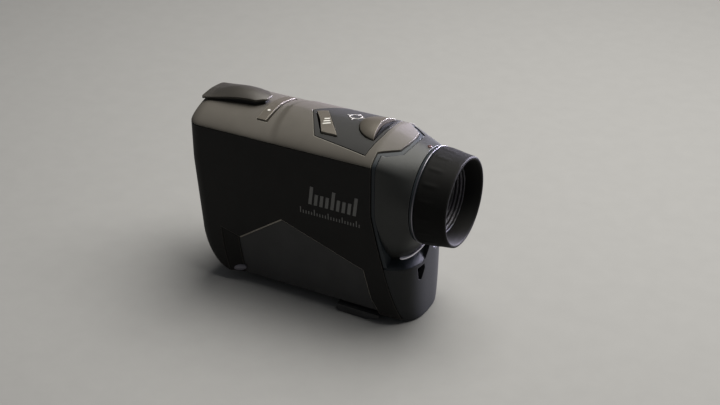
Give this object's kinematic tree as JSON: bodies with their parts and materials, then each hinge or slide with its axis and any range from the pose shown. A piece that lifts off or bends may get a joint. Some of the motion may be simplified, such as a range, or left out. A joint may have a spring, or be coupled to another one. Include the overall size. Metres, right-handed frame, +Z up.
{
  "type": "laser rangefinder",
  "caption": "Handheld laser rangefinder: monocular eyepiece with dioptre ring, objective and emitter at the front, keys on the top cover, hinged battery door underneath.",
  "frame": {"origin": "on the plane the object rests on, under the middle of its length and width", "axes": "+X from the objective towards the user's eye, along the optical axis; +Y to the user's right; +Z up"},
  "size_m": [0.1076, 0.037, 0.0742],
  "materials": {
    "casing": "moulded, fine texture",
    "armour": "soft-touch rubber armour, fine grain",
    "bezel": "moulded, satin",
    "top_cover": "warm grey satin paint",
    "control_panel": "neutral grey, fine texture",
    "hood": "warm grey satin paint",
    "key": "warm grey satin paint",
    "scoop": "dark, polished",
    "rear_cover": "dark grey, satin",
    "steel": "bright",
    "turret": "grey satin paint with a metallic sheen",
    "trim": "dark teal-grey, satin gloss",
    "dioptre_ring": "anodised, satin",
    "eyecup": "matt rubber",
    "blackened": "black anodised, matt",
    "coated_glass": "polished, purple anti-reflection coating",
    "clear_glass": "polished",
    "gilt": "gold plated",
    "black_plastic": "moulded",
    "display": "dark liquid crystal glass",
    "board": "green solder mask",
    "cell_wrap": "printed sleeve, plain blue"
  },
  "bodies": {
    "housing": {"left_shell": "casing", "right_shell": "casing", "left_armour": "armour", "right_armour": "armour", "front_bezel": "bezel", "top_cover": "top_cover", "control_panel": "control_panel", "front_hood": "hood", "rear_cover": "rear_cover", "strap_bar": "steel", "eyepiece_turret": "turret", "trim_frame": "trim", "objective_lens": "coated_glass", "emitter_lens": "coated_glass", "objective_tube": "blackened", "objective_retainer": "blackened", "emitter_barrel": "blackened", "laser_diode": "gilt", "focus_motor": "steel", "focus_bracket": "steel", "prism_holder": "black_plastic", "roof_prism": "clear_glass", "display_module": "display", "echo_sensor": "gilt", "sensor_board": "board", "main_board": "board", "button_board": "board", "fire_switch": "black_plastic", "mode_switch": "black_plastic", "bar_switch": "black_plastic", "battery": "cell_wrap", "battery_sleeve": "black_plastic", "positive_contact": "gilt", "negative_contact": "gilt", "battery_spring": "steel", "door_hinge_pin": "steel", "case_screw_1": "steel", "case_screw_2": "steel", "case_screw_3": "steel", "case_screw_4": "steel"},
    "fire_key": {"fire_button": "key", "fire_button_scoop": "scoop"},
    "mode_key": {"mode_button": "key"},
    "range_key": {"range_bar": "key"},
    "diopter": {"diopter_ring": "dioptre_ring", "eyecup": "eyecup"},
    "eyepiece": {"eyepiece_cell": "blackened", "eye_lens": "clear_glass", "field_lens": "clear_glass"},
    "focus_carriage": {"focus_cell": "blackened", "focus_lens": "clear_glass"},
    "lead_screw": {"focus_screw": "steel"},
    "battery_lid": {"battery_door": "casing"},
    "latch": {"door_latch": "black_plastic"}
  },
  "joints": [
    {"name": "fire_press", "type": "slide", "parent": "housing", "child": "fire_key", "axis": [0, 0, -1], "range_m": [0, 0.0005]},
    {"name": "mode_press", "type": "slide", "parent": "housing", "child": "mode_key", "axis": [0, 0, -1], "range_m": [0, 0.0005]},
    {"name": "bar_press", "type": "slide", "parent": "housing", "child": "range_key", "axis": [0, 0, -1], "range_m": [0, 0.0005]},
    {"name": "diopter_turn", "type": "hinge", "parent": "housing", "child": "diopter", "pos_m": [0.0402, 0, 0.0503], "axis": [1, 0, 0], "range_deg": [-120, 120]},
    {"name": "eyepiece_slide", "type": "slide", "parent": "housing", "child": "eyepiece", "axis": [1, 0, 0], "range_m": [-0.00151, 0.00151]},
    {"name": "focus_slide", "type": "slide", "parent": "housing", "child": "focus_carriage", "axis": [1, 0, 0], "range_m": [0, 0.008]},
    {"name": "focus_screw_turn", "type": "hinge", "parent": "housing", "child": "lead_screw", "pos_m": [-0.016, 0, 0.0332], "axis": [1, 0, 0], "range_deg": [0, 721]},
    {"name": "battery_door_hinge", "type": "hinge", "parent": "housing", "child": "battery_lid", "pos_m": [-0.0315, 0, 0.0033], "axis": [0, 1, 0], "range_deg": [0, 90]},
    {"name": "latch_slide", "type": "slide", "parent": "housing", "child": "latch", "axis": [1, 0, 0], "range_m": [0, 0.0025]}
  ],
  "couplings": [
    {"joint": "eyepiece_slide", "follows": "diopter_turn", "m_per_rad": 0.0007162},
    {"joint": "focus_screw_turn", "follows": "focus_slide", "rad_per_m": 1570.8}
  ]
}
